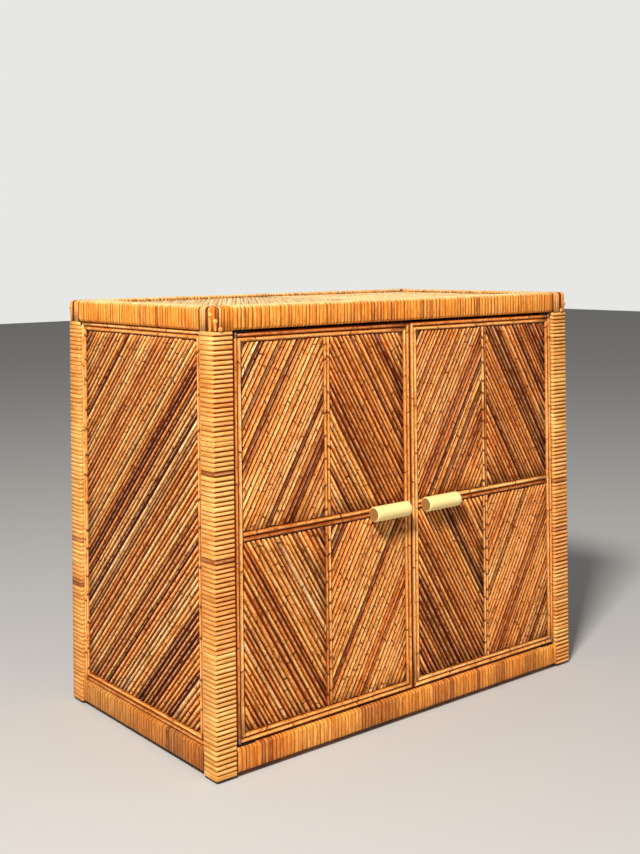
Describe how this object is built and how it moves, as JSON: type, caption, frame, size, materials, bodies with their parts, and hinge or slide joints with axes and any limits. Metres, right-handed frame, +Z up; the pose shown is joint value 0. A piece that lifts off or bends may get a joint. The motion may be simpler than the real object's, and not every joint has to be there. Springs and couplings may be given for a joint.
{
  "type": "record cabinet",
  "caption": "Rattan record cabinet: wrapped frame, pencil-reed sides and top, two hinged reed doors with a diamond lay, inner shelf.",
  "frame": {"origin": "middle of the space the cabinet takes up, handles included, at the level of the floor under its glides", "axes": "+Z up, -Y out of the doors, +X to the right for someone facing the doors"},
  "size_m": [0.813, 0.4788, 0.7113],
  "materials": {
    "post_wrap": "half-round rattan wound in level turns, lacquered",
    "rail_wrap": "rattan peel wound edge to edge, lacquered",
    "moulding": "half-round rattan, lacquered",
    "reed": "half-round pencil reed, toasted and lacquered",
    "board": "stained plywood",
    "pole": "peeled rattan pole, clear lacquer",
    "steel": "zinc plated",
    "plastic": "moulded, satin"
  },
  "bodies": {
    "case": {"front_left_post": "post_wrap", "front_left_glide": "plastic", "front_left_corner_block": "rail_wrap", "front_right_post": "post_wrap", "front_right_glide": "plastic", "front_right_corner_block": "rail_wrap", "rear_left_post": "post_wrap", "rear_left_glide": "plastic", "rear_left_corner_block": "rail_wrap", "rear_right_post": "post_wrap", "rear_right_glide": "plastic", "rear_right_corner_block": "rail_wrap", "bottom_front_rail": "rail_wrap", "bottom_rear_rail": "rail_wrap", "bottom_left_rail": "rail_wrap", "bottom_right_rail": "rail_wrap", "top_front_rail": "rail_wrap", "top_rear_rail": "rail_wrap", "top_left_rail": "rail_wrap", "top_right_rail": "rail_wrap", "floor_board": "board", "back_board": "board", "top_board": "board", "shelf": "board", "left_side_board": "board", "right_side_board": "board", "left_shelf_cleat": "board", "right_shelf_cleat": "board", "left_side_moulding": "moulding", "right_side_moulding": "moulding", "left_side_reeds": "reed", "right_side_reeds": "reed", "top_reeds": "reed", "magnetic_catch": "plastic", "left_door_upper_hinge_pin": "steel", "left_door_lower_hinge_pin": "steel", "right_door_upper_hinge_pin": "steel", "right_door_lower_hinge_pin": "steel"},
    "left_door": {"left_door_board": "board", "left_door_moulding": "moulding", "left_door_mid_rail": "moulding", "left_door_upper_reeds": "reed", "left_door_lower_reeds": "reed", "left_door_upper_strip": "moulding", "left_door_lower_strip": "moulding", "left_handle": "pole", "left_door_strike": "steel", "left_door_upper_hinge_barrel": "steel", "left_door_lower_hinge_barrel": "steel"},
    "right_door": {"right_door_board": "board", "right_door_moulding": "moulding", "right_door_mid_rail": "moulding", "right_door_upper_reeds": "reed", "right_door_lower_reeds": "reed", "right_door_upper_strip": "moulding", "right_door_lower_strip": "moulding", "right_handle": "pole", "right_door_strike": "steel", "right_door_upper_hinge_barrel": "steel", "right_door_lower_hinge_barrel": "steel"}
  },
  "joints": [
    {"name": "left_door_hinge", "type": "hinge", "parent": "case", "child": "left_door", "pos_m": [-0.361, -0.2126, 0.0443], "axis": [0, 0, -1], "range_deg": [0, 110]},
    {"name": "right_door_hinge", "type": "hinge", "parent": "case", "child": "right_door", "pos_m": [0.361, -0.2126, 0.0443], "axis": [0, 0, 1], "range_deg": [0, 110]}
  ]
}
